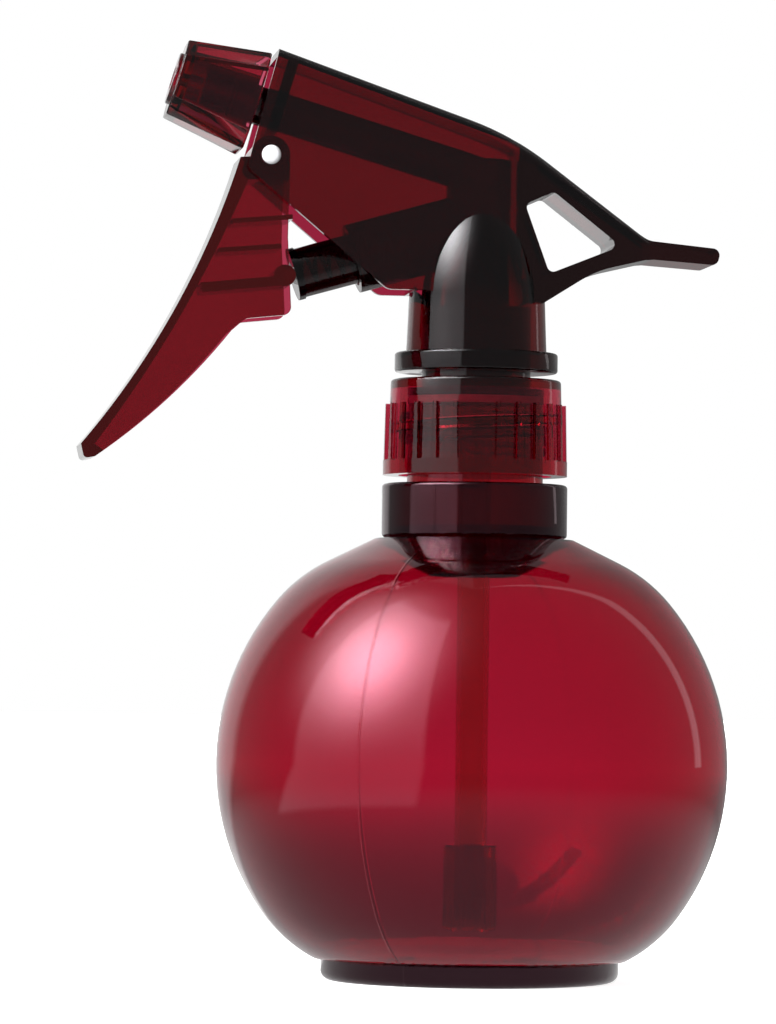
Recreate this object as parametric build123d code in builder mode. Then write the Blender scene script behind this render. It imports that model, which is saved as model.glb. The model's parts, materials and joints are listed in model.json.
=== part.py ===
from build123d import *
import math
import os

os.makedirs("parts", exist_ok=True)

# Millimetres. The origin is the middle of the bottle's foot, +Z is up, and the nozzle points
# along -X. The head is the same on both sides of the XZ plane.

# ---- fits -----------------------------------------------------------------------------------
RUNNING_FIT = 0.05
LOOSE_FIT = 0.3
SEAT_GAP = 0.1

# ---- bottle ---------------------------------------------------------------------------------
BALL_R = 47.2
BALL_Z = 39.6
BALL_LOW_ANGLE = 35.0
BALL_HIGH_ANGLE = 39.8
BALL_WALL = 1.3
LOWER_ARC_R = 27.4
LOWER_ARC_TURN = 27.2
SHOULDER_ARC_R = 28.4
SHOULDER_TURN = 24.0
SHOULDER_RUN = 9.6
FOOT_R = 27.5
FOOT_TOP_Z = 3.8
FOOT_EDGE_R = 1.8
FOOT_RING_R = 22.0
PUNT_HEIGHT = 2.4
GROOVE_R = 10.3
GROOVE_Z = 77.8
THROAT_R = 8.5
COLLAR_R = 17.15
COLLAR_LOW_Z = 81.9
COLLAR_TOP_Z = 91.5
COLLAR_EDGE_R = 0.7
NECK_R = 12.6
NECK_BORE_R = 10.4
NECK_SHOULDER_Z = 84.0
RIM_Z = 106.0
THREAD_R = 13.75
THREAD_PITCH = 4.24
THREAD_TURNS = 1.5
THREAD_ROOT_WIDTH = 2.2
THREAD_CREST_WIDTH = 1.1
THREAD_START_Z = 97.4

# ---- screw collar ---------------------------------------------------------------------------
NUT_LOW_Z = 93.1
NUT_TOP_Z = 110.8
NUT_CEILING = 1.8
NUT_BAND_R = 17.05
NUT_BAND_TOP_Z = 95.8
NUT_BARREL_LOW_R = 16.2
NUT_BARREL_TOP_R = 15.75
NUT_RIB_TOP_Z = 106.2
NUT_RIB_COUNT = 26
NUT_RIB_WIDTH = 1.15
NUT_EDGE_R = 0.6
NUT_BORE_R = THREAD_R + 0.45
NUT_THREAD_R = NECK_R + 0.4
NUT_THREAD_TURNS = 1.25

# ---- stem of the head -----------------------------------------------------------------------
SHANK_R = 10.1
SHANK_TOP_Z = 124.0
SHANK_BORE_R = 6.6
GASKET_Z = RIM_Z + SEAT_GAP
GASKET_THICK = 1.4
GASKET_HOLE_R = 5.2
RETAINER_FLANGE_R = 12.7
RETAINER_FLANGE_THICK = 1.35
RETAINER_SLOTS = 4
RETAINER_SLOT_DEPTH = 2.5
RETAINER_SLOT_WIDTH = 1.2
FLANGE_R = 15.1
FLANGE_LOW_Z = 112.2
FLANGE_TOP_Z = 115.8
FLANGE_EDGE_R = 0.5
STEM_LOW_R = 13.05
STEM_R = 12.6
STEM_DOME_Z = 126.0
STEM_DOME_HEIGHT = 21.0
STEM_TIP_R = 8.6
STEM_WALL = STEM_R - SHANK_R - RUNNING_FIT

# ---- housing --------------------------------------------------------------------------------
HOUSING_HALF = 8.5
CHEEK_WALL = 1.4
ROOF_WALL = 1.7
ROOF_EDGE_R = 2.6
TAIL_HALF = 6.8
FRONT_WALL_AT = 5.0
FRONT_WALL_THICK = 2.0
FRONT_WALL_HEIGHT = 13.4
FRONT_WALL_DROP = 2.1
NOSE_TOP = (-38.0, 170.7)
NOSE_LOW = (-43.8, 148.6)
RIDGE = (5.5, 155.8)
RIDGE_R = 53.0
TAIL_NECK = (31.0, 136.9)
TAIL_TIP_TOP = (44.6, 135.6)
TAIL_TIP_LOW = (43.9, 132.6)
TAIL_CHIN = (32.0, 133.4)
TAIL_NECK_BLEND_R = 4.0
TAIL_TIP_R = 1.3
TAIL_ROOT = (21.0, 131.0)
TAIL_ROOT_BLEND_R = 20.0
STEM_BACK = (11.2, 124.8)
STEM_FRONT = (-11.2, 126.8)
CHEEK_LOBE = (-17.7, 126.8)
CHEEK_LOBE_R = 2.5
NOSE_LOW_R = 1.5
HOLE_CORNERS = [(7.6, 143.0), (13.0, 145.4), (25.6, 135.7), (12.3, 130.3)]
HOLE_CORNER_R = 1.2

# ---- spray line -----------------------------------------------------------------------------
SPRAY_TILT = 16.5
NOZZLE_BASE = (-41.8, 161.0)
BARREL_R = 3.6
BARREL_BORE_R = 1.3
VALVE_BORE_R = 2.5
BARREL_NOSE = 10.0
VALVE_SEAT_AT = 38.0
CAP_LENGTH = 15.3
CAP_BASE = 18.5
CAP_FRONT = 14.2
CAP_EDGE_R = 0.4
CAP_CHAMFER = 3.2
CAP_WALL = 1.5
CAP_PLATE = 2.2
CAP_SLEEVE_R = 5.3
ORIFICE_R = 4.9
ORIFICE_PROUD = 0.6
ORIFICE_THICK = 1.6
ORIFICE_DISH_R = 2.2
CAP_PORT_R = 1.2
JET_R = 0.45
SEAL_GROOVE_AT = 4.0
SEAL_GROOVE_WIDTH = 1.0
SEAL_GROOVE_DEPTH = 0.7
SEAL_WIRE_R = 0.34
SWIRL_LENGTH = 5.0
SWIRL_SLOT_DEPTH = 1.4
SWIRL_SLOT_WIDTH = 0.9
POPPET_LENGTH = 3.0
POPPET_HEAD = 1.2
POPPET_STEM_R = 1.1
VALVE_SPRING_R = 1.7
VALVE_WIRE_R = 0.2
VALVE_SPRING_TURNS = 5

# ---- trigger and pump -----------------------------------------------------------------------
PIVOT = (-39.4, 151.0)
PIN_R = 1.8
PIN_HALF = 8.9
PIN_DOME = 0.7
HUB_R = 3.6
TRIGGER_HALF = 6.75
TRIGGER_WALL = 1.5
TRIGGER_FACE = 1.6
FACE_TOP = (-44.9, 150.6)
FACE_MIDDLE = (-55.7, 124.2)
FACE_END = (-73.4, 97.6)
TIP = (-72.8, 94.9)
TIP_BACK = (-70.8, 95.3)
TIP_R = 0.8
BLADE_MIDDLE = (-57.1, 106.6)
BLADE_TOP = (-46.2, 118.7)
HEEL_FRONT = (-43.6, 121.0)
HEEL_FRONT_R = 2.0
HEEL_BACK = (-35.2, 121.9)
HEEL_BACK_R = 1.5
BACK_TOP = (-36.0, 136.0)
UPPER_WEB = (-40.6, 139.4)
MIDDLE_WEB = (-42.8, 134.0)
LOWER_WEB = (-44.0, 127.4)
WEB_LENGTHS = (11.0, 11.4, 15.4)
WEB_THICK = (0.9, 0.9, 1.8)
WEB_LEAN = (5, 5, 6)
NOSE_R = 2.0
LEVER_ARM = 22.1
LEVER_LEAN = 7.8
PUMP_TILT = 16.0
CYLINDER_BORE_R = 5.0
CYLINDER_R = CYLINDER_BORE_R + 1.4
CYLINDER_MOUTH = 13.5
CYLINDER_END = 25.4
CYLINDER_BACK = 9.0
PUMP_PORT_R = 1.2
PUMP_PORT_LENGTH = 12.0
PISTON_R = CYLINDER_BORE_R - 0.4
PISTON_BORE_R = PISTON_R - 1.3
PISTON_LENGTH = 15.0
PISTON_FACE = 1.6
PISTON_RIM = 1.2
PISTON_RIM_R = PISTON_R + 0.3
PISTON_GROOVE_AT = 3.0
PISTON_GROOVE_WIDTH = 2.0
PISTON_GROOVE_DEPTH = 0.5
SEAL_LIP_R = CYLINDER_BORE_R - 0.02
SEAL_WIDTH = 1.8
SPRING_WIRE_R = 0.4
SPRING_R = PISTON_BORE_R - SPRING_WIRE_R - LOOSE_FIT
SPRING_TURNS = 8
RISER_R = 6.0
RISER_LOW_Z = 113.0
RISER_TOP_Z = 151.5
RISER_BORE_R = 4.0
PASSAGE_R = 1.6
SEAT_RING_TOP_Z = 121.0
CHECK_BALL_R = 2.2
CHECK_BALL_ROOM = 0.4
INLET_PORT_R = 1.4
CHAMBER_TOP_Z = 127.0

# ---- dip tube -------------------------------------------------------------------------------
TUBE_R = 3.0
TUBE_BORE_R = 2.1
TUBE_LOW_Z = 11.0
TUBE_TOP_Z = 118.5
STRAINER_R = 5.0
STRAINER_LOW_Z = 9.0
STRAINER_TOP_Z = 25.0
STRAINER_EDGE_R = 0.5
STRAINER_SLOTS = 6
STRAINER_SLOT_DEPTH = 2.4
STRAINER_SLOT_WIDTH = 1.0
STRAINER_SLOT_HEIGHT = 5.0

# ---- directions worked out from the sizes ---------------------------------------------------
SPRAY = Vector(-math.cos(math.radians(SPRAY_TILT)), 0, math.sin(math.radians(SPRAY_TILT)))
PUSH = Vector(math.cos(math.radians(PUMP_TILT)), 0, math.sin(math.radians(PUMP_TILT)))
BARREL_ROOT_Z = NOZZLE_BASE[1] + NOZZLE_BASE[0] * math.tan(math.radians(SPRAY_TILT))
BARREL_LENGTH = -NOZZLE_BASE[0] / math.cos(math.radians(SPRAY_TILT))
BARREL_TIP = BARREL_LENGTH + BARREL_NOSE
NOSE_CENTRE = (
    PIVOT[0] + LEVER_ARM * math.sin(math.radians(LEVER_LEAN)),
    PIVOT[1] - LEVER_ARM * math.cos(math.radians(LEVER_LEAN)),
)
PISTON_START = NOSE_R + SEAT_GAP
SPRING_START = PISTON_START + PISTON_FACE
SPRING_END = CYLINDER_END - 0.1


def along_spray(distance):
    """Plane square to the spray line, this far from the riser, facing the way it sprays."""
    spot = Vector(0, 0, BARREL_ROOT_Z) + SPRAY * distance
    return Plane(origin=spot, x_dir=(0, 1, 0), z_dir=SPRAY)


def along_pump(distance):
    """Plane square to the pump line, this far behind the middle of the trigger's nose."""
    spot = Vector(NOSE_CENTRE[0], 0, NOSE_CENTRE[1]) + PUSH * distance
    return Plane(origin=spot, x_dir=(0, 1, 0), z_dir=PUSH)


def disc(plane, radius, length, mode=Mode.ADD):
    """A plain round bar or bore that starts on the plane."""
    with Locations(plane):
        Cylinder(radius, length, align=(Align.CENTER, Align.CENTER, Align.MIN), mode=mode)


def ring(plane, outer, inner, length):
    """A plain round tube that starts on the plane."""
    with BuildPart(mode=Mode.PRIVATE) as tube:
        disc(plane, outer, length)
        disc(plane, inner, length, Mode.SUBTRACT)
    add(tube.part)


def save(piece, name):
    piece.part.label = name
    export_step(piece.part, f"parts/{name}.step")


def ball_outline(inset, top_point, low_points):
    """Half of the ball's section, set in from the outside by this much."""
    belly = CenterArc(
        (0, BALL_Z), BALL_R - inset, -BALL_LOW_ANGLE, BALL_LOW_ANGLE + BALL_HIGH_ANGLE
    )
    shoulder = JernArc(belly @ 1, belly % 1, SHOULDER_ARC_R - inset, SHOULDER_TURN)
    rise = Line(shoulder @ 1, shoulder @ 1 + (shoulder % 1) * SHOULDER_RUN)
    base = JernArc(belly @ 0, (belly % 0) * -1, LOWER_ARC_R - inset, -LOWER_ARC_TURN)
    Polyline(rise @ 1, *top_point)
    Polyline(base @ 1, *low_points)


def coil(plane, radius, wire, length, turns):
    """A round-wire spring with its axis on the plane's normal."""
    with BuildPart(mode=Mode.PRIVATE) as spring:
        with BuildLine(Plane.XY.offset(wire)) as path:
            Helix(pitch=(length - 2 * wire) / turns, height=length - 2 * wire, radius=radius)
        with BuildSketch(Plane(origin=path.line @ 0, z_dir=path.line % 0)):
            Circle(wire)
        sweep(path=path.line, is_frenet=True)
    with Locations(plane):
        add(spring.part)


def thread_ridge(root_r, crest_r, start_z, turns):
    """A screw ridge between the root and crest radii, made as one helical sweep."""
    sink = 0.25 if crest_r > root_r else -0.25
    middle = (root_r - sink + crest_r) / 2
    half = abs(crest_r - root_r + sink) / 2
    side = 1 if crest_r > root_r else -1
    with BuildPart(mode=Mode.PRIVATE) as ridge:
        with BuildLine(Plane.XY.offset(start_z)) as path:
            Helix(pitch=THREAD_PITCH, height=THREAD_PITCH * turns, radius=middle)
        with BuildSketch(Plane(origin=path.line @ 0, x_dir=(1, 0, 0), z_dir=path.line % 0)):
            with BuildLine():
                Polyline(
                    (-side * half, -THREAD_ROOT_WIDTH / 2),
                    (side * half, -THREAD_CREST_WIDTH / 2),
                    (side * half, THREAD_CREST_WIDTH / 2),
                    (-side * half, THREAD_ROOT_WIDTH / 2),
                    close=True,
                )
            make_face()
        sweep(path=path.line, is_frenet=True)
    return ridge.part


# ---- bottle: ball, foot, grip collar and threaded neck in one blown piece -------------------
with BuildPart() as bottle:
    with BuildSketch(Plane.XZ):
        with BuildLine():
            ball_outline(
                0,
                [(GROOVE_R, GROOVE_Z), (0, GROOVE_Z)],
                [(FOOT_R, FOOT_TOP_Z), (FOOT_R, 0), (FOOT_RING_R, 0), (0, PUNT_HEIGHT),
                 (0, GROOVE_Z)],
            )
        make_face()
    revolve(axis=Axis.Z)
    foot_edge = bottle.edges().filter_by(GeomType.CIRCLE).sort_by(Axis.Z)
    fillet([e for e in foot_edge if abs(e.radius - FOOT_R) < 0.01 and e.center().Z < 1],
           radius=FOOT_EDGE_R)
    with BuildSketch(Plane.XZ):
        with BuildLine():
            Polyline(
                (0, GROOVE_Z - 1),
                (GROOVE_R - 0.5, GROOVE_Z - 1),
                (GROOVE_R, GROOVE_Z),
                (COLLAR_R, COLLAR_LOW_Z),
                (COLLAR_R, COLLAR_TOP_Z),
                (NECK_R, COLLAR_TOP_Z),
                (NECK_R, RIM_Z),
                (0, RIM_Z),
                close=True,
            )
        make_face()
    revolve(axis=Axis.Z)
    collar_edges = bottle.edges().filter_by(GeomType.CIRCLE)
    fillet([e for e in collar_edges if abs(e.radius - COLLAR_R) < 0.01], radius=COLLAR_EDGE_R)
    with BuildSketch(Plane.XZ):
        with BuildLine():
            ball_outline(
                BALL_WALL,
                [(THROAT_R, GROOVE_Z - 2 * BALL_WALL), (0, GROOVE_Z - 2 * BALL_WALL)],
                [(0, PUNT_HEIGHT + BALL_WALL), (0, GROOVE_Z - 2 * BALL_WALL)],
            )
        make_face()
    revolve(axis=Axis.Z, mode=Mode.SUBTRACT)
    with BuildSketch(Plane.XZ):
        with BuildLine():
            Polyline(
                (0, GROOVE_Z - 3 * BALL_WALL),
                (THROAT_R, GROOVE_Z - 3 * BALL_WALL),
                (THROAT_R, NECK_SHOULDER_Z - 2.5),
                (NECK_BORE_R, NECK_SHOULDER_Z),
                (NECK_BORE_R, RIM_Z),
                (0, RIM_Z),
                close=True,
            )
        make_face()
    revolve(axis=Axis.Z, mode=Mode.SUBTRACT)
    add(thread_ridge(NECK_R, THREAD_R, THREAD_START_Z, THREAD_TURNS))
save(bottle, "bottle")


# ---- screw collar ---------------------------------------------------------------------------
with BuildPart() as screw_collar:
    with BuildSketch(Plane.XZ):
        with BuildLine():
            Polyline(
                (0, NUT_LOW_Z),
                (NUT_BAND_R, NUT_LOW_Z),
                (NUT_BAND_R, NUT_BAND_TOP_Z),
                (NUT_BARREL_LOW_R, NUT_BAND_TOP_Z),
                (NUT_BARREL_TOP_R, NUT_TOP_Z),
                (0, NUT_TOP_Z),
                close=True,
            )
        make_face()
    revolve(axis=Axis.Z)
    nut_rim = screw_collar.edges().filter_by(GeomType.CIRCLE).sort_by(Axis.Z)[-1]
    fillet(nut_rim, radius=NUT_EDGE_R)
    with BuildSketch(Plane.XY.offset(NUT_BAND_TOP_Z - 0.2)):
        with PolarLocations((NUT_BARREL_TOP_R + NUT_BAND_R) / 2 - 0.55, NUT_RIB_COUNT):
            Rectangle(NUT_BAND_R - NUT_BARREL_TOP_R + 1, NUT_RIB_WIDTH)
    extrude(amount=NUT_RIB_TOP_Z - NUT_BAND_TOP_Z + 0.2, taper=1.2)
    disc(Plane.XY.offset(NUT_LOW_Z), NUT_BORE_R, NUT_TOP_Z - NUT_CEILING - NUT_LOW_Z,
         Mode.SUBTRACT)
    disc(Plane.XY.offset(NUT_LOW_Z), SHANK_R + LOOSE_FIT, NUT_TOP_Z - NUT_LOW_Z + 1,
         Mode.SUBTRACT)
    add(thread_ridge(NUT_BORE_R, NUT_THREAD_R, THREAD_START_Z + THREAD_PITCH / 2,
                     NUT_THREAD_TURNS))
save(screw_collar, "screw_collar")


# ---- retainer under the stem, and the gasket it presses on the bottle's rim -----------------
GASKET_TOP_Z = GASKET_Z + GASKET_THICK
RETAINER_TOP_Z = GASKET_TOP_Z + RETAINER_FLANGE_THICK

with BuildPart() as closure_gasket:
    ring(Plane.XY.offset(GASKET_Z), RETAINER_FLANGE_R, GASKET_HOLE_R, GASKET_THICK)
save(closure_gasket, "closure_gasket")

with BuildPart() as tube_retainer:
    ring(Plane.XY.offset(GASKET_TOP_Z), RETAINER_FLANGE_R, TUBE_R + RUNNING_FIT,
         RETAINER_FLANGE_THICK)
    ring(Plane.XY.offset(GASKET_TOP_Z), SHANK_R, SHANK_BORE_R, SHANK_TOP_Z - GASKET_TOP_Z)
    with BuildSketch(Plane.XY.offset(RETAINER_TOP_Z)):
        with PolarLocations(0, RETAINER_SLOTS, start_angle=45):
            with Locations((SHANK_BORE_R, 0)):
                Rectangle(RETAINER_SLOT_DEPTH, RETAINER_SLOT_WIDTH)
    extrude(amount=RISER_LOW_Z - RETAINER_TOP_Z)
save(tube_retainer, "tube_retainer")


# ---- dip tube and strainer ------------------------------------------------------------------
with BuildPart() as dip_tube:
    ring(Plane.XY.offset(TUBE_LOW_Z), TUBE_R, TUBE_BORE_R, TUBE_TOP_Z - TUBE_LOW_Z)
save(dip_tube, "dip_tube")

with BuildPart() as tube_strainer:
    ring(Plane.XY.offset(STRAINER_LOW_Z), STRAINER_R, TUBE_R + RUNNING_FIT,
         STRAINER_TOP_Z - STRAINER_LOW_Z)
    disc(Plane.XY.offset(STRAINER_LOW_Z), TUBE_BORE_R, TUBE_LOW_Z - STRAINER_LOW_Z,
         Mode.SUBTRACT)
    strainer_rim = tube_strainer.edges().filter_by(GeomType.CIRCLE).sort_by(Axis.Z)
    fillet([e for e in strainer_rim if abs(e.radius - STRAINER_R) < 0.01],
           radius=STRAINER_EDGE_R)
    with BuildSketch(Plane.XY.offset(STRAINER_LOW_Z)):
        with PolarLocations(STRAINER_R, STRAINER_SLOTS):
            Rectangle(STRAINER_SLOT_DEPTH, STRAINER_SLOT_WIDTH)
    extrude(amount=STRAINER_SLOT_HEIGHT, mode=Mode.SUBTRACT)
save(tube_strainer, "tube_strainer")


# ---- housing: cheeks, roof, stem, foot flange and tail loop ---------------------------------
def near(corners, *points):
    """The corners of a side sketch that lie nearest to these (X, Z) points."""
    return [corners.sort_by_distance((x, z, 0))[0] for x, z in points]


ROOF_SLOPE = (RIDGE[1] - NOSE_TOP[1]) / (RIDGE[0] - NOSE_TOP[0])


def under_roof(x):
    """Height of the roof's inner face at this X."""
    return NOSE_TOP[1] - ROOF_WALL * 1.06 + ROOF_SLOPE * (x - NOSE_TOP[0])


def dome_outline(radius, base_z, height, tip_r):
    """Half of a bullet's section: a long side arc, then a tighter arc over the tip."""
    flank_r = (radius**2 + (height - tip_r) ** 2 - tip_r**2) / (2 * (radius - tip_r))
    turn = math.degrees(math.atan2(height - tip_r, flank_r - radius))
    flank = JernArc((radius, base_z), (0, 1), flank_r, turn)
    JernArc(flank @ 1, flank % 1, tip_r, 90 - turn)


def tail_end():
    """The flat finger tail behind the loop, with its rounded end."""
    with BuildPart(mode=Mode.PRIVATE) as tail:
        with BuildSketch(Plane.XZ) as outline:
            with BuildLine():
                Polyline(
                    (TAIL_NECK[0] - 4, TAIL_NECK[1] + 2.6), TAIL_NECK, TAIL_TIP_TOP,
                    TAIL_TIP_LOW, TAIL_CHIN, (TAIL_NECK[0] - 6, TAIL_CHIN[1] - 0.6), close=True,
                )
            make_face()
            fillet(near(outline.vertices(), TAIL_NECK), radius=TAIL_NECK_BLEND_R)
            fillet(near(outline.vertices(), TAIL_TIP_TOP, TAIL_TIP_LOW), radius=TAIL_TIP_R)
        extrude(amount=TAIL_HALF, both=True)
    return tail.part


with BuildPart() as head_housing:
    with BuildSketch(Plane.XZ) as side:
        with BuildLine():
            Polyline(
                NOSE_TOP, RIDGE, TAIL_NECK, (TAIL_NECK[0], TAIL_CHIN[1]), TAIL_ROOT,
                STEM_BACK, STEM_FRONT, CHEEK_LOBE, NOSE_LOW, close=True,
            )
        make_face()
        fillet(near(side.vertices(), RIDGE), radius=RIDGE_R)
        fillet(near(side.vertices(), TAIL_ROOT), radius=TAIL_ROOT_BLEND_R)
        fillet(near(side.vertices(), CHEEK_LOBE), radius=CHEEK_LOBE_R)
        fillet(near(side.vertices(), NOSE_LOW), radius=NOSE_LOW_R)
    extrude(amount=HOUSING_HALF, both=True)
    roof_edges = [
        e for e in head_housing.edges()
        if abs(abs(e.center().Y) - HOUSING_HALF) < 0.01
        and e.center().Z > TAIL_NECK[1] + 1
        and e.center().X > NOSE_LOW[0] + 6
        and e.length > 5
    ]
    fillet(roof_edges, radius=ROOF_EDGE_R)
    with BuildSketch(Plane.XY.offset(100)) as plan:
        with BuildLine():
            Polyline(
                (-60, -HOUSING_HALF), (RIDGE[0], -HOUSING_HALF), (50, -TAIL_HALF),
                (50, TAIL_HALF), (RIDGE[0], HOUSING_HALF), (-60, HOUSING_HALF), close=True,
            )
        make_face()
    extrude(amount=100, mode=Mode.INTERSECT)
    add(tail_end())
    with BuildSketch(Plane.XZ) as loop:
        with BuildLine():
            Polyline(*HOLE_CORNERS, close=True)
        make_face()
        fillet(loop.vertices(), radius=HOLE_CORNER_R)
    extrude(amount=HOUSING_HALF + 1, both=True, mode=Mode.SUBTRACT)
    with BuildSketch(Plane.XZ):
        with BuildLine():
            Polyline((0, FLANGE_TOP_Z - 1), (STEM_LOW_R, FLANGE_TOP_Z - 1),
                     (STEM_R, STEM_DOME_Z))
            dome_outline(STEM_R, STEM_DOME_Z, STEM_DOME_HEIGHT, STEM_TIP_R)
            Line((0, STEM_DOME_Z + STEM_DOME_HEIGHT), (0, FLANGE_TOP_Z - 1))
        make_face()
    revolve(axis=Axis.Z)
    disc(Plane.XY.offset(FLANGE_LOW_Z), FLANGE_R, FLANGE_TOP_Z - FLANGE_LOW_Z)
    flange_rims = head_housing.edges().filter_by(GeomType.CIRCLE)
    fillet([e for e in flange_rims if abs(e.radius - FLANGE_R) < 0.01], radius=FLANGE_EDGE_R)
    with BuildSketch(Plane.XZ):
        with BuildLine():
            Polyline((0, SHANK_TOP_Z), (SHANK_R, SHANK_TOP_Z))
            dome_outline(SHANK_R, SHANK_TOP_Z, STEM_DOME_HEIGHT - STEM_WALL,
                         STEM_TIP_R - STEM_WALL)
            Line((0, SHANK_TOP_Z + STEM_DOME_HEIGHT - STEM_WALL), (0, SHANK_TOP_Z))
        make_face()
    revolve(axis=Axis.Z, mode=Mode.SUBTRACT)
    disc(Plane.XY.offset(FLANGE_LOW_Z), SHANK_R + RUNNING_FIT, SHANK_TOP_Z - FLANGE_LOW_Z + 0.1,
         Mode.SUBTRACT)
    with BuildSketch(Plane.XZ):
        with BuildLine():
            Polyline(
                (-60, under_roof(-60)), (RISER_R + 0.5, under_roof(RISER_R + 0.5)),
                (RISER_R + 0.5, SHANK_TOP_Z), (1 - SHANK_R, SHANK_TOP_Z),
                (-STEM_R, SHANK_TOP_Z + 3.5), (-STEM_R, SHANK_TOP_Z), (-60, SHANK_TOP_Z),
                close=True,
            )
        make_face()
    extrude(amount=HOUSING_HALF - CHEEK_WALL, both=True, mode=Mode.SUBTRACT)
    with BuildSketch(along_spray(BARREL_LENGTH - FRONT_WALL_AT)):
        with Locations((0, -FRONT_WALL_DROP)):
            Rectangle(2 * HOUSING_HALF - 1, FRONT_WALL_HEIGHT)
    extrude(amount=FRONT_WALL_THICK)
    with Locations(Plane(origin=(PIVOT[0], HOUSING_HALF + 1, PIVOT[1]), z_dir=(0, -1, 0))):
        Cylinder(PIN_R, 2 * HOUSING_HALF + 2, align=(Align.CENTER, Align.CENTER, Align.MIN),
                 mode=Mode.SUBTRACT)
    disc(along_spray(20.0), BARREL_R, BARREL_LENGTH, Mode.SUBTRACT)
save(head_housing, "head_housing")


# ---- pump body: riser, pump cylinder and spray barrel in one moulding -----------------------
CHECK_BALL_DROP = math.sqrt(CHECK_BALL_R**2 - INLET_PORT_R**2)
CHECK_BALL_Z = SEAT_RING_TOP_Z + CHECK_BALL_DROP + 0.02

with BuildPart() as pump_body:
    disc(Plane.XY.offset(RISER_LOW_Z), RISER_R, RISER_TOP_Z - RISER_LOW_Z)
    disc(along_spray(0), BARREL_R, BARREL_TIP)
    disc(along_pump(CYLINDER_MOUTH), CYLINDER_R, CYLINDER_END - CYLINDER_MOUTH + CYLINDER_BACK)
    disc(along_pump(CYLINDER_MOUTH), CYLINDER_BORE_R, CYLINDER_END - CYLINDER_MOUTH,
         Mode.SUBTRACT)
    disc(along_pump(CYLINDER_END - 0.5), PUMP_PORT_R, PUMP_PORT_LENGTH, Mode.SUBTRACT)
    disc(Plane.XY.offset(RISER_LOW_Z), RISER_BORE_R, SEAT_RING_TOP_Z - RISER_LOW_Z,
         Mode.SUBTRACT)
    disc(Plane.XY.offset(SEAT_RING_TOP_Z - 0.1), CHECK_BALL_R + CHECK_BALL_ROOM,
         CHAMBER_TOP_Z - SEAT_RING_TOP_Z, Mode.SUBTRACT)
    disc(Plane.XY.offset(CHAMBER_TOP_Z - 1), PASSAGE_R, BARREL_ROOT_Z + 0.5 - CHAMBER_TOP_Z + 1,
         Mode.SUBTRACT)
    disc(along_spray(0), BARREL_BORE_R, VALVE_SEAT_AT + 1, Mode.SUBTRACT)
    disc(along_spray(VALVE_SEAT_AT), VALVE_BORE_R, BARREL_TIP - VALVE_SEAT_AT, Mode.SUBTRACT)
    with BuildPart(mode=Mode.PRIVATE) as groove:
        disc(along_spray(BARREL_LENGTH + SEAL_GROOVE_AT), BARREL_R + 1, SEAL_GROOVE_WIDTH)
        disc(along_spray(BARREL_LENGTH + SEAL_GROOVE_AT), BARREL_R - SEAL_GROOVE_DEPTH,
             SEAL_GROOVE_WIDTH, Mode.SUBTRACT)
    add(groove.part, mode=Mode.SUBTRACT)
save(pump_body, "pump_body")

with BuildPart() as inlet_seat:
    disc(Plane.XY.offset(RISER_LOW_Z), RISER_BORE_R, SEAT_RING_TOP_Z - RISER_LOW_Z - 0.1)
    disc(Plane.XY.offset(RISER_LOW_Z), TUBE_R, TUBE_TOP_Z - RISER_LOW_Z, Mode.SUBTRACT)
    disc(Plane.XY.offset(RISER_LOW_Z), INLET_PORT_R, RISER_TOP_Z - RISER_LOW_Z,
         Mode.SUBTRACT)
save(inlet_seat, "inlet_seat")

with BuildPart() as inlet_ball:
    with Locations((0, 0, CHECK_BALL_Z)):
        Sphere(CHECK_BALL_R)
save(inlet_ball, "inlet_ball")


# ---- outlet valve and swirl insert in the barrel --------------------------------------------
INSERT_AT = BARREL_TIP - SWIRL_LENGTH - 0.6

with BuildPart() as outlet_valve:
    disc(along_spray(VALVE_SEAT_AT + 0.05), VALVE_BORE_R - 0.1, POPPET_HEAD)
    disc(along_spray(VALVE_SEAT_AT + 0.05), POPPET_STEM_R, POPPET_LENGTH)
save(outlet_valve, "outlet_valve")

with BuildPart() as outlet_spring:
    coil(along_spray(VALVE_SEAT_AT + POPPET_HEAD + 0.15), VALVE_SPRING_R, VALVE_WIRE_R,
         INSERT_AT - VALVE_SEAT_AT - POPPET_HEAD - 0.25, VALVE_SPRING_TURNS)
save(outlet_spring, "outlet_spring")

with BuildPart() as swirl_insert:
    disc(along_spray(INSERT_AT), VALVE_BORE_R - 0.02, SWIRL_LENGTH)
    with BuildSketch(along_spray(INSERT_AT - 1)):
        with PolarLocations(VALVE_BORE_R, 3):
            Rectangle(SWIRL_SLOT_DEPTH, SWIRL_SLOT_WIDTH)
    extrude(amount=SWIRL_LENGTH + 2, mode=Mode.SUBTRACT)
save(swirl_insert, "swirl_insert")


# ---- nozzle cap, spray plate and the seal in the barrel's groove ----------------------------
def cap_block(start, end, inset):
    """The cap's tapered eight-sided block between two stations, set in from the outside."""
    with BuildPart(mode=Mode.PRIVATE) as block:
        for station in (start, end):
            across = CAP_BASE + (CAP_FRONT - CAP_BASE) * station / CAP_LENGTH - 2 * inset
            with BuildSketch(along_spray(BARREL_LENGTH + station)) as section:
                Rectangle(across, across)
                chamfer(section.vertices(), length=CAP_CHAMFER - inset * 0.58)
        loft()
    return block.part


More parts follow.
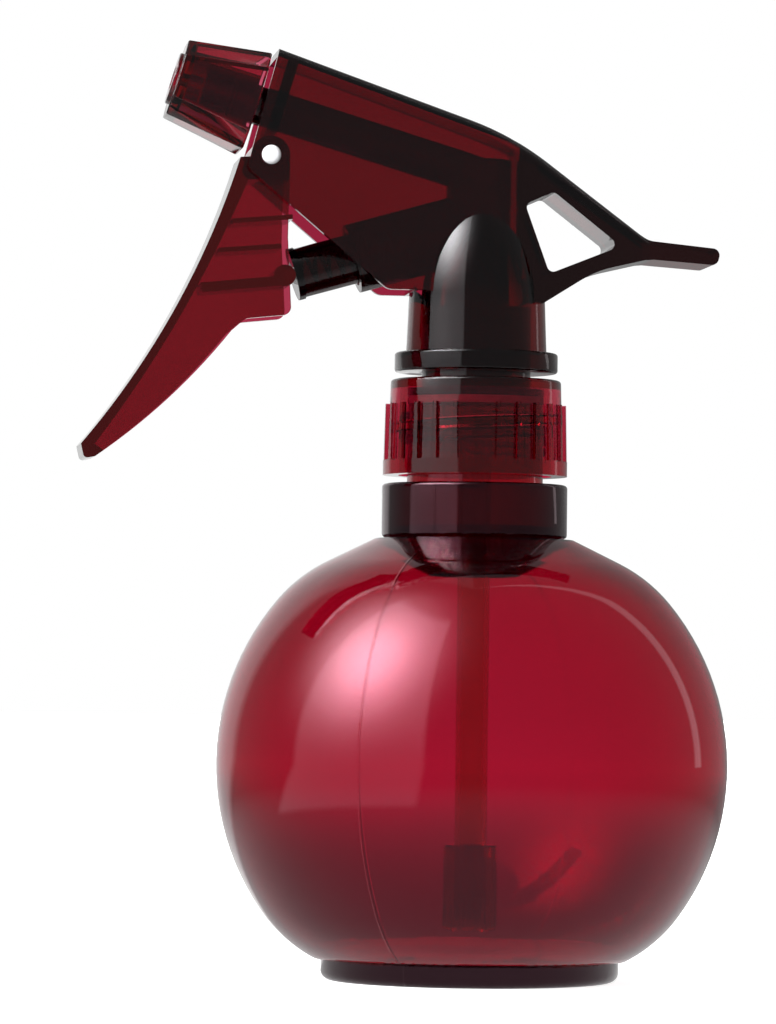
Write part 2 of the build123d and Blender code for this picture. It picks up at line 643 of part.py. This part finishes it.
with BuildPart() as nozzle_cap:
    add(cap_block(0, CAP_LENGTH, 0))
    fillet(nozzle_cap.edges(), radius=CAP_EDGE_R)
    add(cap_block(-0.5, CAP_LENGTH - CAP_PLATE, CAP_WALL), mode=Mode.SUBTRACT)
    disc(along_spray(BARREL_LENGTH + 0.6), CAP_SLEEVE_R, CAP_LENGTH - CAP_PLATE - 0.4)
    disc(along_spray(BARREL_LENGTH - 1), BARREL_R + RUNNING_FIT, BARREL_NOSE + 1.4,
         Mode.SUBTRACT)
    disc(along_spray(BARREL_LENGTH + CAP_LENGTH - ORIFICE_THICK + ORIFICE_PROUD), ORIFICE_R, 5,
         Mode.SUBTRACT)
    disc(along_spray(BARREL_LENGTH + 5), CAP_PORT_R, 10, Mode.SUBTRACT)
save(nozzle_cap, "nozzle_cap")

with BuildPart() as orifice_plate:
    disc(along_spray(BARREL_LENGTH + CAP_LENGTH - ORIFICE_THICK + ORIFICE_PROUD + 0.02),
         ORIFICE_R - 0.02, ORIFICE_THICK)
    fillet(orifice_plate.edges().group_by(SortBy.DISTANCE)[-1], radius=0.3)
    disc(along_spray(BARREL_LENGTH + CAP_LENGTH), ORIFICE_DISH_R, 2.0, Mode.SUBTRACT)
    disc(along_spray(BARREL_LENGTH), JET_R, 20, Mode.SUBTRACT)
save(orifice_plate, "orifice_plate")

with BuildPart() as nozzle_seal:
    with Locations(along_spray(BARREL_LENGTH + SEAL_GROOVE_AT + SEAL_GROOVE_WIDTH / 2)):
        Torus(BARREL_R - SEAL_WIRE_R + 0.01, SEAL_WIRE_R)
save(nozzle_seal, "nozzle_seal")


# ---- piston, its seal and the return spring -------------------------------------------------
GROOVE_START = PISTON_START + PISTON_LENGTH - PISTON_GROOVE_AT

with BuildPart() as piston:
    disc(along_pump(PISTON_START), PISTON_R, PISTON_LENGTH)
    disc(along_pump(PISTON_START), PISTON_RIM_R, PISTON_RIM)
    disc(along_pump(PISTON_START + PISTON_FACE), PISTON_BORE_R, PISTON_LENGTH, Mode.SUBTRACT)
    with BuildPart(mode=Mode.PRIVATE) as seal_groove:
        disc(along_pump(GROOVE_START), PISTON_R + 1, PISTON_GROOVE_WIDTH)
        disc(along_pump(GROOVE_START), PISTON_R - PISTON_GROOVE_DEPTH, PISTON_GROOVE_WIDTH,
             Mode.SUBTRACT)
    add(seal_groove.part, mode=Mode.SUBTRACT)
save(piston, "piston")

with BuildPart() as piston_seal:
    ring(along_pump(GROOVE_START + SEAT_GAP), SEAL_LIP_R, PISTON_R - PISTON_GROOVE_DEPTH + 0.02,
         SEAL_WIDTH)
save(piston_seal, "piston_seal")

with BuildPart() as return_spring:
    coil(along_pump(SPRING_START + 0.05), SPRING_R, SPRING_WIRE_R,
         SPRING_END - SPRING_START - 0.05, SPRING_TURNS)
save(return_spring, "return_spring")


# ---- pivot pin and trigger ------------------------------------------------------------------
with BuildPart() as pivot_pin:
    with Locations(Plane(origin=(PIVOT[0], PIN_HALF, PIVOT[1]), z_dir=(0, -1, 0))):
        Cylinder(PIN_R, 2 * PIN_HALF, align=(Align.CENTER, Align.CENTER, Align.MIN))
    fillet(pivot_pin.edges().filter_by(GeomType.CIRCLE), radius=PIN_DOME)
save(pivot_pin, "pivot_pin")

with BuildPart() as trigger:
    with BuildSketch(Plane.XZ) as blade:
        with BuildLine():
            ThreePointArc(FACE_TOP, FACE_MIDDLE, FACE_END)
            Polyline(FACE_END, TIP, TIP_BACK)
            ThreePointArc(TIP_BACK, BLADE_MIDDLE, BLADE_TOP)
            Polyline(BLADE_TOP, HEEL_FRONT, HEEL_BACK, BACK_TOP,
                     (PIVOT[0] + HUB_R, PIVOT[1] - 1), PIVOT, FACE_TOP)
        make_face()
        fillet(near(blade.vertices(), TIP), radius=TIP_R)
        fillet(near(blade.vertices(), HEEL_BACK), radius=HEEL_BACK_R)
        fillet(near(blade.vertices(), HEEL_FRONT), radius=HEEL_FRONT_R)
        with Locations(PIVOT):
            Circle(HUB_R)
    extrude(amount=TRIGGER_HALF, both=True)
    with BuildSketch(Plane.XZ) as channel:
        with BuildLine():
            ThreePointArc(
                (FACE_TOP[0] + TRIGGER_FACE, FACE_TOP[1] - 4),
                (FACE_MIDDLE[0] + TRIGGER_FACE * 0.9, FACE_MIDDLE[1] - TRIGGER_FACE * 0.45),
                (FACE_END[0] + TRIGGER_FACE * 1.6, FACE_END[1]),
            )
            Polyline((FACE_END[0] + TRIGGER_FACE * 1.6, FACE_END[1]), (-60, 90), (-25, 90),
                     (-25, FACE_TOP[1] - 4), (FACE_TOP[0] + TRIGGER_FACE, FACE_TOP[1] - 4))
        make_face()
    extrude(amount=TRIGGER_HALF - TRIGGER_WALL, both=True, mode=Mode.SUBTRACT)
    with BuildSketch(Plane.XZ) as webs:
        for spot, length, thick, lean in zip(
            (UPPER_WEB, MIDDLE_WEB, LOWER_WEB), WEB_LENGTHS, WEB_THICK, WEB_LEAN
        ):
            with Locations(Location(spot, lean)):
                Rectangle(length, thick)
        with Locations(NOSE_CENTRE):
            Circle(NOSE_R)
    extrude(amount=TRIGGER_HALF - 0.5, both=True)
    with Locations(Plane(origin=(PIVOT[0], TRIGGER_HALF + 1, PIVOT[1]), z_dir=(0, -1, 0))):
        Cylinder(PIN_R + RUNNING_FIT, 2 * TRIGGER_HALF + 2,
                 align=(Align.CENTER, Align.CENTER, Align.MIN), mode=Mode.SUBTRACT)
save(trigger, "trigger")
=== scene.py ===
import json
import math

import bmesh
import bpy
from mathutils import Matrix, Vector


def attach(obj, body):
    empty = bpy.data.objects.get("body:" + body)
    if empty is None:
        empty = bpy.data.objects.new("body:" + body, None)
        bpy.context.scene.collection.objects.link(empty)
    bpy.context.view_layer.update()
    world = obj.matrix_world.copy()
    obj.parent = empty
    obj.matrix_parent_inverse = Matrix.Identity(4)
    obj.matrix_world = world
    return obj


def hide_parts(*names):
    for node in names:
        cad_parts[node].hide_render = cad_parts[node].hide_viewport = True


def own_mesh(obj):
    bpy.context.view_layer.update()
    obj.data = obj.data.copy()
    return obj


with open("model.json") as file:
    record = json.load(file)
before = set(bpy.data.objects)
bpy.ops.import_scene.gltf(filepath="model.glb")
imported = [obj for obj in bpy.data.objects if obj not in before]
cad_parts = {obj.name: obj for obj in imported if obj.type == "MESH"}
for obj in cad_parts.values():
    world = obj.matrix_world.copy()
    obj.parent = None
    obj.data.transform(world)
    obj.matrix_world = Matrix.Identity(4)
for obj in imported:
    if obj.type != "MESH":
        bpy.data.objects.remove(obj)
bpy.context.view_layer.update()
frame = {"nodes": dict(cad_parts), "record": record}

# Lengths are in metres.
# ---- joined points, sharp edges and mould line -----------------------------------------
JOIN_WITHIN = 2e-6
SHARP_ANGLE = math.radians(24)
MOULD_LINE_SIDE = (0.839, -0.545, 0.0)
MOULD_LINE_HALF = 0.00012
MOULD_LINE_RAISED = 0.0001
MOULD_LINE_STRENGTH = 0.6

# ---- surface of the plastics ----------------------------------------------------------
NOISE_LOW = 0.35
NOISE_HIGH = 0.65
CLOUD_FINENESS = 40.0
CLOUD_DARK = 0.95
CLOUD_LIGHT = 1.04
FLOW_FINENESS = 26.0
FLOW_STRETCH = (1.0, 1.0, 0.45)
FLOW_DEPTH = 0.0006
WEAR_FINENESS = 190.0
WEAR_ROUGHENS = 0.025
CLEAR_PLASTIC_IOR = 1.5
SOLID_ROUGHENS = 0.1
SOLID_GRAIN_DEPTH = 0.0001
SOLID_GRAIN_STRENGTH = 0.15
WIRE_MARK_FINENESS = 900.0

# ---- studio ---------------------------------------------------------------------------
# Turns run round the mister from the camera's side, growing leftwards. Heights of lights are
# the upright part of a direction, from -1 straight down to 1 straight up.
CAMERA_TURN = math.radians(-7.0)
CAMERA_DISTANCE = 0.95
CAMERA_HEIGHT = 0.056
AIM = Vector((-0.0161, 0.0, 0.0862))
FRAME_WIDTH = 0.1432
CAMERA_ROLL = math.radians(0.7)
SENSOR = 36.0
LIGHT_BOUNCES = 24
MIRROR_BOUNCES = 8
WINDOW_NEAR = math.radians(22)
WINDOW_NEAR_BLUR = 0.03
WINDOW_FAR = math.radians(87)
WINDOW_FAR_BLUR = 0.04
WINDOW_LIGHT = 2.0
WINDOW_LOW = 0.9
WINDOW_RISE = 0.45
WINDOW_TOP_START = 0.90
WINDOW_TOP_END = 0.94
WINDOW_FOOT = 0.14
WINDOW_FOOT_BLUR = 0.03
WINDOW_CORE = (-0.677, -0.264, 0.67)
CORE_TIGHT = 17.0
CORE_LIGHT = 20.0
CORE_SEEN_THROUGH = 0.6
STRIP_TURN = math.radians(-123)
STRIP_BLUR = 0.04
STRIP_FADE_START = 0.06
STRIP_FADE_END = 0.1
STRIP_FOOT = -0.3
STRIP_LIGHT = 0.9
FILL_LIGHT = 0.28
WALL_START = math.radians(130)
WALL_END = math.radians(140)
WALL_LIGHT = 0.6
WALL_FADE_START = 0.5
WALL_FADE_END = 0.8
WALL_TOP_SHARE = 0.4
ROOF_START = 0.10
ROOF_END = 0.50
ROOF_LIGHT = 0.08
FLOOR_HALF = 6.0
# Floor glow seen in mirrors and through clear plastic: a painted shadow dims it near the foot,
# a painted sheen lies under the object, and painted window and wall light lies round it.
FLOOR_PAINTED_SHADOW = 0.22
FLOOR_PAINTED_SHADOW_R = 0.08
FLOOR_BRIGHT_R = 1.6
FLOOR_PAINTED_SHEEN = 0.7
FLOOR_PAINTED_SHEEN_R = 0.35
FLOOR_GLOW = 0.9

TOWARDS_CAMERA = Vector((math.sin(CAMERA_TURN), -math.cos(CAMERA_TURN), 0))
TO_THE_LEFT = Vector((-math.cos(CAMERA_TURN), -math.sin(CAMERA_TURN), 0))


# ---- finishes -------------------------------------------------------------------------
def ranged(tree, source, low, high, to_low, to_high):
    """Smooth step of a value from one level to another."""
    step = tree.nodes.new("ShaderNodeMapRange")
    step.interpolation_type = "SMOOTHSTEP"
    step.inputs["From Min"].default_value = low
    step.inputs["From Max"].default_value = high
    step.inputs["To Min"].default_value = to_low
    step.inputs["To Max"].default_value = to_high
    tree.links.new(source, step.inputs["Value"])
    return step.outputs["Result"]


def reckon(tree, operation, first, second=0.0):
    """One arithmetic node; either side may be a number or another node's result."""
    node = tree.nodes.new("ShaderNodeMath")
    node.operation = operation
    for socket, value in zip(node.inputs, (first, second)):
        if isinstance(value, (int, float)):
            socket.default_value = value
        else:
            tree.links.new(value, socket)
    return node.outputs["Value"]


def along(tree, source, direction):
    """How far the looked-at direction lies along a given one."""
    node = tree.nodes.new("ShaderNodeVectorMath")
    node.operation = "DOT_PRODUCT"
    tree.links.new(source, node.inputs[0])
    node.inputs[1].default_value = Vector(direction).normalized()
    return node.outputs["Value"]


def new_finish(name):
    """A finish with one plastic shader; gives the finish, its node tree and the shader."""
    finish = bpy.data.materials.new(name)
    finish.use_nodes = True
    tree = finish.node_tree
    return finish, tree, tree.nodes["Principled BSDF"]


def object_noise(tree, scale, detail, stretch=(1, 1, 1)):
    """Noise over the piece's own coordinates."""
    coords = tree.nodes.new("ShaderNodeTexCoord")
    mapping = tree.nodes.new("ShaderNodeMapping")
    noise = tree.nodes.new("ShaderNodeTexNoise")
    mapping.inputs["Scale"].default_value = stretch
    noise.inputs["Scale"].default_value = scale
    noise.inputs["Detail"].default_value = detail
    tree.links.new(coords.outputs["Object"], mapping.inputs["Vector"])
    tree.links.new(mapping.outputs["Vector"], noise.inputs["Vector"])
    return noise


def noise_between(tree, source, low, high):
    """Spreads a noise between two values."""
    spread = tree.nodes.new("ShaderNodeMapRange")
    spread.inputs["From Min"].default_value = NOISE_LOW
    spread.inputs["From Max"].default_value = NOISE_HIGH
    spread.inputs["To Min"].default_value = low
    spread.inputs["To Max"].default_value = high
    tree.links.new(source.outputs["Fac"], spread.inputs["Value"])
    return spread


def surface_bump(tree, shader, source, strength, depth):
    """Lets a noise raise and lower the surface a little."""
    bump = tree.nodes.new("ShaderNodeBump")
    bump.inputs["Strength"].default_value = strength
    bump.inputs["Distance"].default_value = depth
    tree.links.new(source.outputs["Fac"], bump.inputs["Height"])
    tree.links.new(bump.outputs["Normal"], shader.inputs["Normal"])


def tinted_clear_plastic(name, skin, tint, density, waviness, rough, sheen_tint):
    """Clear moulded plastic, tinted at its skin and right through, so thick walls turn dark."""
    finish, tree, shader = new_finish(name)
    cloud = object_noise(tree, CLOUD_FINENESS, 2.0)
    shade = tree.nodes.new("ShaderNodeValToRGB")
    shade.color_ramp.elements[0].color = (*(CLOUD_DARK * c for c in skin), 1)
    shade.color_ramp.elements[1].color = (*(min(CLOUD_LIGHT * c, 1) for c in skin), 1)
    tree.links.new(cloud.outputs["Fac"], shade.inputs["Fac"])
    tree.links.new(shade.outputs["Color"], shader.inputs["Base Color"])
    shader.inputs["Transmission Weight"].default_value = 1.0
    shader.inputs["IOR"].default_value = CLEAR_PLASTIC_IOR
    shader.inputs["Specular Tint"].default_value = (*sheen_tint, 1)
    flow = object_noise(tree, FLOW_FINENESS, 1.5, FLOW_STRETCH)
    surface_bump(tree, shader, flow, waviness, FLOW_DEPTH)
    wear = object_noise(tree, WEAR_FINENESS, 4.0)
    gloss = noise_between(tree, wear, rough, rough + WEAR_ROUGHENS)
    tree.links.new(gloss.outputs["Result"], shader.inputs["Roughness"])
    depth_tint = tree.nodes.new("ShaderNodeVolumeAbsorption")
    depth_tint.inputs["Color"].default_value = (*tint, 1)
    depth_tint.inputs["Density"].default_value = density
    output = tree.nodes["Material Output"]
    tree.links.new(depth_tint.outputs["Volume"], output.inputs["Volume"])
    return finish


def mould_line(finish):
    """A fine raised line where the two halves of the bottle's mould met."""
    tree = finish.node_tree
    shader = tree.nodes["Principled BSDF"]
    coords = tree.nodes.new("ShaderNodeTexCoord")
    across = along(tree, coords.outputs["Object"], MOULD_LINE_SIDE)
    off_line = reckon(tree, "ABSOLUTE", across)
    ridge = ranged(tree, off_line, MOULD_LINE_HALF, 2 * MOULD_LINE_HALF, 1.0, 0.0)
    bump = tree.nodes.new("ShaderNodeBump")
    bump.inputs["Strength"].default_value = MOULD_LINE_STRENGTH
    bump.inputs["Distance"].default_value = MOULD_LINE_RAISED
    tree.links.new(ridge, bump.inputs["Height"])
    tree.links.new(shader.inputs["Normal"].links[0].from_socket, bump.inputs["Normal"])
    tree.links.new(bump.outputs["Normal"], shader.inputs["Normal"])


def solid_plastic(name, low_colour, high_colour, rough, grain):
    """Opaque moulded plastic or rubber with a fine, uneven surface."""
    finish, tree, shader = new_finish(name)
    mottle = object_noise(tree, grain, 3.0)
    ramp = tree.nodes.new("ShaderNodeValToRGB")
    ramp.color_ramp.elements[0].position = NOISE_LOW
    ramp.color_ramp.elements[0].color = (*low_colour, 1)
    ramp.color_ramp.elements[1].position = NOISE_HIGH
    ramp.color_ramp.elements[1].color = (*high_colour, 1)
    tree.links.new(mottle.outputs["Fac"], ramp.inputs["Fac"])
    tree.links.new(ramp.outputs["Color"], shader.inputs["Base Color"])
    gloss = noise_between(tree, mottle, rough, rough + SOLID_ROUGHENS)
    tree.links.new(gloss.outputs["Result"], shader.inputs["Roughness"])
    surface_bump(tree, shader, mottle, SOLID_GRAIN_STRENGTH, SOLID_GRAIN_DEPTH)
    return finish


def drawn_wire(name):
    """Bright spring wire with fine drawing marks."""
    finish, tree, shader = new_finish(name)
    marks = object_noise(tree, WIRE_MARK_FINENESS, 2.0, (1, 1, 4))
    shader.inputs["Metallic"].default_value = 1.0
    ramp = tree.nodes.new("ShaderNodeValToRGB")
    ramp.color_ramp.elements[0].color = (0.45, 0.45, 0.47, 1)
    ramp.color_ramp.elements[1].color = (0.72, 0.72, 0.74, 1)
    tree.links.new(marks.outputs["Fac"], ramp.inputs["Fac"])
    tree.links.new(ramp.outputs["Color"], shader.inputs["Base Color"])
    gloss = noise_between(tree, marks, 0.18, 0.34)
    tree.links.new(gloss.outputs["Result"], shader.inputs["Roughness"])
    return finish


RED = (0.82, 0.045, 0.36)
WARM = (1.0, 0.48, 0.62)
SOFT = (0.72, 0.70, 0.72)
bottle_plastic = tinted_clear_plastic(
    "clear_red_bottle", (0.80, 0.21, 0.40), RED, 1300, 0.10, 0.02, WARM)
mould_line(bottle_plastic)
tube_plastic = tinted_clear_plastic(
    "clear_red_tube", (0.86, 0.30, 0.42), RED, 500, 0.06, 0.03, SOFT)
collar_plastic = tinted_clear_plastic(
    "clear_red_collar", (0.64, 0.22, 0.28), RED, 700, 0.08, 0.03, SOFT)
head_plastic = tinted_clear_plastic(
    "dark_red_head", (0.44, 0.13, 0.18), RED, 1500, 0.08, 0.04, SOFT)
pump_plastic = tinted_clear_plastic(
    "dark_red_pump", (0.30, 0.10, 0.12), RED, 4500, 0.06, 0.05, SOFT)
trigger_plastic = tinted_clear_plastic(
    "clear_red_trigger", (0.50, 0.13, 0.18), RED, 950, 0.08, 0.03, SOFT)
pin_plastic = solid_plastic(
    "white_pin", (0.82, 0.82, 0.84), (0.93, 0.93, 0.94), 0.12, 300)
valve_plastic = solid_plastic(
    "natural_white", (0.74, 0.74, 0.71), (0.84, 0.84, 0.81), 0.35, 400)
seal_rubber = solid_plastic(
    "pale_seal", (0.66, 0.66, 0.63), (0.76, 0.76, 0.73), 0.5, 500)
ring_rubber = solid_plastic(
    "black_ring", (0.015, 0.015, 0.015), (0.03, 0.03, 0.03), 0.45, 600)
spring_steel = drawn_wire("spring_wire")

NODE_FINISH = {
    "bottle": bottle_plastic,
    "screw_collar": collar_plastic,
    "closure_gasket": seal_rubber,
    "tube_retainer": head_plastic,
    "dip_tube": tube_plastic,
    "tube_strainer": tube_plastic,
    "head_housing": head_plastic,
    "pump_body": pump_plastic,
    "inlet_seat": valve_plastic,
    "inlet_ball": spring_steel,
    "outlet_valve": valve_plastic,
    "outlet_spring": spring_steel,
    "swirl_insert": valve_plastic,
    "nozzle_cap": collar_plastic,
    "orifice_plate": tube_plastic,
    "nozzle_seal": ring_rubber,
    "piston": pump_plastic,
    "piston_seal": seal_rubber,
    "return_spring": spring_steel,
    "pivot_pin": pin_plastic,
    "trigger": trigger_plastic,
}
NODE_BODY = {
    node: body
    for body, nodes in frame["record"]["behaviour"]["bodies"].items()
    for node in nodes
}


# ---- pieces ---------------------------------------------------------------------------
def finished_copy(node):
    """The CAD shape with its loose triangles joined and its curved faces shaded round."""
    piece = bpy.data.objects.new(node + "_moulding", frame["nodes"][node].data.copy())
    bpy.context.scene.collection.objects.link(piece)
    mesh = bmesh.new()
    mesh.from_mesh(piece.data)
    bmesh.ops.remove_doubles(mesh, verts=mesh.verts, dist=JOIN_WITHIN)
    for face in mesh.faces:
        face.smooth = True
    for edge in mesh.edges:
        shared = len(edge.link_faces) == 2
        edge.smooth = shared and edge.calc_face_angle(0) < SHARP_ANGLE
    mesh.to_mesh(piece.data)
    mesh.free()
    piece.data.materials.clear()
    piece.data.materials.append(NODE_FINISH[node])
    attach(piece, NODE_BODY[node])
    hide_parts(node)
    return piece


pieces = {node: finished_copy(node) for node in frame["nodes"]}
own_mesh(pieces["return_spring"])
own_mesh(pieces["outlet_spring"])


# ---- floor, light and camera -----------------------------------------------------------
def turn_of(tree, source):
    """Angle of a direction round the object, from the camera's side and growing leftwards."""
    return reckon(tree, "ARCTAN2", along(tree, source, TO_THE_LEFT),
                  along(tree, source, TOWARDS_CAMERA))


def window_span(tree, turn):
    """One inside the window's width, none outside it."""
    near_side = ranged(tree, turn, WINDOW_NEAR - WINDOW_NEAR_BLUR,
                       WINDOW_NEAR + WINDOW_NEAR_BLUR, 0, 1)
    far_side = ranged(tree, turn, WINDOW_FAR - WINDOW_FAR_BLUR,
                      WINDOW_FAR + WINDOW_FAR_BLUR, 1, 0)
    return reckon(tree, "MULTIPLY", near_side, far_side)


def painted_floor_light(tree):
    """Painted light of the floor: how bright it glows in mirrors, through clear plastic and to
    the camera, with a painted shadow near the foot and painted sheen, window and wall light.
    """
    coords = tree.nodes.new("ShaderNodeTexCoord")
    reach = tree.nodes.new("ShaderNodeVectorMath")
    reach.operation = "LENGTH"
    tree.links.new(coords.outputs["Object"], reach.inputs[0])
    out_from_foot = reach.outputs["Value"]
    # Painted shadow: seen through clear plastic, the floor's glow is dimmed near the foot.
    far = ranged(tree, out_from_foot, FLOOR_PAINTED_SHADOW_R, FLOOR_BRIGHT_R, FLOOR_PAINTED_SHADOW, 1.0)
    outward = tree.nodes.new("ShaderNodeVectorMath")
    outward.operation = "NORMALIZE"
    tree.links.new(coords.outputs["Object"], outward.inputs[0])
    turn = turn_of(tree, outward.outputs["Vector"])
    # Painted light: in mirrors the floor glows with painted wall light behind the object, a
    # painted pool of window light and a painted sheen under the object.
    behind = ranged(tree, turn, WALL_START, WALL_END, 0.0, WALL_LIGHT)
    window = reckon(tree, "MULTIPLY", window_span(tree, turn),
                    ranged(tree, out_from_foot, WINDOW_FOOT,
                           WINDOW_FOOT + WINDOW_FOOT_BLUR, 0, WINDOW_LOW))
    under = ranged(tree, out_from_foot, FLOOR_PAINTED_SHADOW_R, FLOOR_PAINTED_SHEEN_R, FLOOR_PAINTED_SHEEN, FILL_LIGHT)
    mirrored = reckon(tree, "ADD", reckon(tree, "ADD", behind, window), under)
    seen = tree.nodes.new("ShaderNodeLightPath")
    unseen = tree.nodes.new("ShaderNodeMix")
    tree.links.new(seen.outputs["Is Transmission Ray"], unseen.inputs["Factor"])
    tree.links.new(mirrored, unseen.inputs["A"])
    tree.links.new(far, unseen.inputs["B"])
    level = tree.nodes.new("ShaderNodeMix")
    tree.links.new(seen.outputs["Is Camera Ray"], level.inputs["Factor"])
    tree.links.new(unseen.outputs["Result"], level.inputs["A"])
    level.inputs["B"].default_value = FLOOR_GLOW
    return seen.outputs["Is Camera Ray"], level.outputs["Result"]


def pale_table():
    """White board that takes soft shadows and glows evenly to the camera; in mirrors and
    through clear plastic it is black and shows only its painted glow, with a painted shadow
    near the foot.
    """
    finish, tree, shader = new_finish("pale_table")
    grain = object_noise(tree, 60.0, 3.0)
    ramp = tree.nodes.new("ShaderNodeValToRGB")
    ramp.color_ramp.elements[0].color = (0.90, 0.90, 0.90, 1)
    ramp.color_ramp.elements[1].color = (0.94, 0.94, 0.94, 1)
    tree.links.new(grain.outputs["Fac"], ramp.inputs["Fac"])
    tree.links.new(ramp.outputs["Color"], shader.inputs["Base Color"])
    shader.inputs["Roughness"].default_value = 0.7
    shader.inputs["Specular IOR Level"].default_value = 0.1
    camera_sees, brightness = painted_floor_light(tree)
    glow = tree.nodes.new("ShaderNodeEmission")
    tree.links.new(brightness, glow.inputs["Strength"])
    dark = tree.nodes.new("ShaderNodeBsdfDiffuse")
    dark.inputs["Color"].default_value = (0, 0, 0, 1)
    dim = tree.nodes.new("ShaderNodeMixShader")
    tree.links.new(camera_sees, dim.inputs["Fac"])
    tree.links.new(dark.outputs["BSDF"], dim.inputs[1])
    tree.links.new(shader.outputs["BSDF"], dim.inputs[2])
    both = tree.nodes.new("ShaderNodeAddShader")
    tree.links.new(dim.outputs["Shader"], both.inputs[0])
    tree.links.new(glow.outputs["Emission"], both.inputs[1])
    output = tree.nodes["Material Output"]
    tree.links.new(both.outputs["Shader"], output.inputs["Surface"])
    return finish


def pale_floor():
    """A white sheet under the object."""
    sheet = bmesh.new()
    bmesh.ops.create_grid(sheet, x_segments=2, y_segments=2, size=FLOOR_HALF)
    data = bpy.data.meshes.new("pale_floor")
    sheet.to_mesh(data)
    sheet.free()
    floor = bpy.data.objects.new("pale_floor", data)
    bpy.context.scene.collection.objects.link(floor)
    floor.data.materials.append(pale_table())


def studio_air():
    """White walls all round, a dim ceiling, a tall soft window at the left and a thin strip."""
    world = bpy.data.worlds.new("studio_air")
    bpy.context.scene.world = world
    world.use_nodes = True
    tree = world.node_tree
    sky = tree.nodes["Background"]
    coords = tree.nodes.new("ShaderNodeTexCoord").outputs["Generated"]
    height = along(tree, coords, (0, 0, 1))
    turn = turn_of(tree, coords)
    window = reckon(tree, "MULTIPLY", window_span(tree, turn),
                    ranged(tree, height, 0.0, WINDOW_RISE, WINDOW_LOW, WINDOW_LIGHT))
    window = reckon(tree, "MULTIPLY", window,
                    ranged(tree, height, WINDOW_TOP_START, WINDOW_TOP_END, 1, 0))
    core = reckon(tree, "MAXIMUM", along(tree, coords, WINDOW_CORE))
    core = reckon(tree, "MULTIPLY", reckon(tree, "POWER", core, CORE_TIGHT), CORE_LIGHT)
    strip = reckon(tree, "MULTIPLY",
                   ranged(tree, turn, STRIP_TURN - STRIP_BLUR, STRIP_TURN, 0, 1),
                   ranged(tree, turn, STRIP_TURN + STRIP_FADE_START,
                          STRIP_TURN + STRIP_FADE_END, STRIP_LIGHT, 0))
    strip = reckon(tree, "MULTIPLY", strip, ranged(tree, height, STRIP_FOOT, 0.0, 0, 1))
    wall = ranged(tree, turn, WALL_START, WALL_END, 0.0, WALL_LIGHT)
    wall = reckon(tree, "MULTIPLY", wall,
                  ranged(tree, height, WALL_FADE_START, WALL_FADE_END, 1.0, WALL_TOP_SHARE))
    mirrored = FILL_LIGHT
    for part in (window, core, strip, wall):
        mirrored = reckon(tree, "ADD", mirrored, part)
    through = reckon(tree, "MULTIPLY",
                     ranged(tree, height, ROOF_START, ROOF_END, 1.0, ROOF_LIGHT),
                     ranged(tree, height, -ROOF_END, -ROOF_START, ROOF_LIGHT, 1.0))
    through = reckon(tree, "ADD", through,
                     reckon(tree, "MULTIPLY", core, CORE_SEEN_THROUGH))
    seen = tree.nodes.new("ShaderNodeLightPath")
    level = tree.nodes.new("ShaderNodeMix")
    tree.links.new(seen.outputs["Is Transmission Ray"], level.inputs["Factor"])
    tree.links.new(mirrored, level.inputs["A"])
    tree.links.new(through, level.inputs["B"])
    direct = tree.nodes.new("ShaderNodeMix")
    tree.links.new(seen.outputs["Is Camera Ray"], direct.inputs["Factor"])
    tree.links.new(level.outputs["Result"], direct.inputs["A"])
    direct.inputs["B"].default_value = 1.0
    tree.links.new(direct.outputs["Result"], sky.inputs["Strength"])
    sky.inputs["Color"].default_value = (1, 1, 1, 1)


def front_camera():
    """Looks at the mister's side from a little towards the nozzle, low and slightly rolled."""
    lens = bpy.data.cameras.new("camera")
    camera = bpy.data.objects.new("camera", lens)
    bpy.context.scene.collection.objects.link(camera)
    camera.location = AIM + CAMERA_DISTANCE * TOWARDS_CAMERA
    camera.location.z = CAMERA_HEIGHT
    look = (AIM - camera.location).to_track_quat("-Z", "Y").to_matrix().to_4x4()
    camera.matrix_world = (
        Matrix.Translation(camera.location) @ look @ Matrix.Rotation(CAMERA_ROLL, 4, "Z")
    )
    lens.sensor_fit = "HORIZONTAL"
    lens.sensor_width = SENSOR
    lens.lens = SENSOR * CAMERA_DISTANCE / FRAME_WIDTH
    lens.clip_start = 0.01
    bpy.context.scene.camera = camera


pale_floor()
studio_air()
front_camera()

scene = bpy.context.scene
scene.view_settings.view_transform = "Standard"
scene.cycles.max_bounces = LIGHT_BOUNCES
scene.cycles.transmission_bounces = LIGHT_BOUNCES
scene.cycles.glossy_bounces = MIRROR_BOUNCES
scene.cycles.transparent_max_bounces = LIGHT_BOUNCES
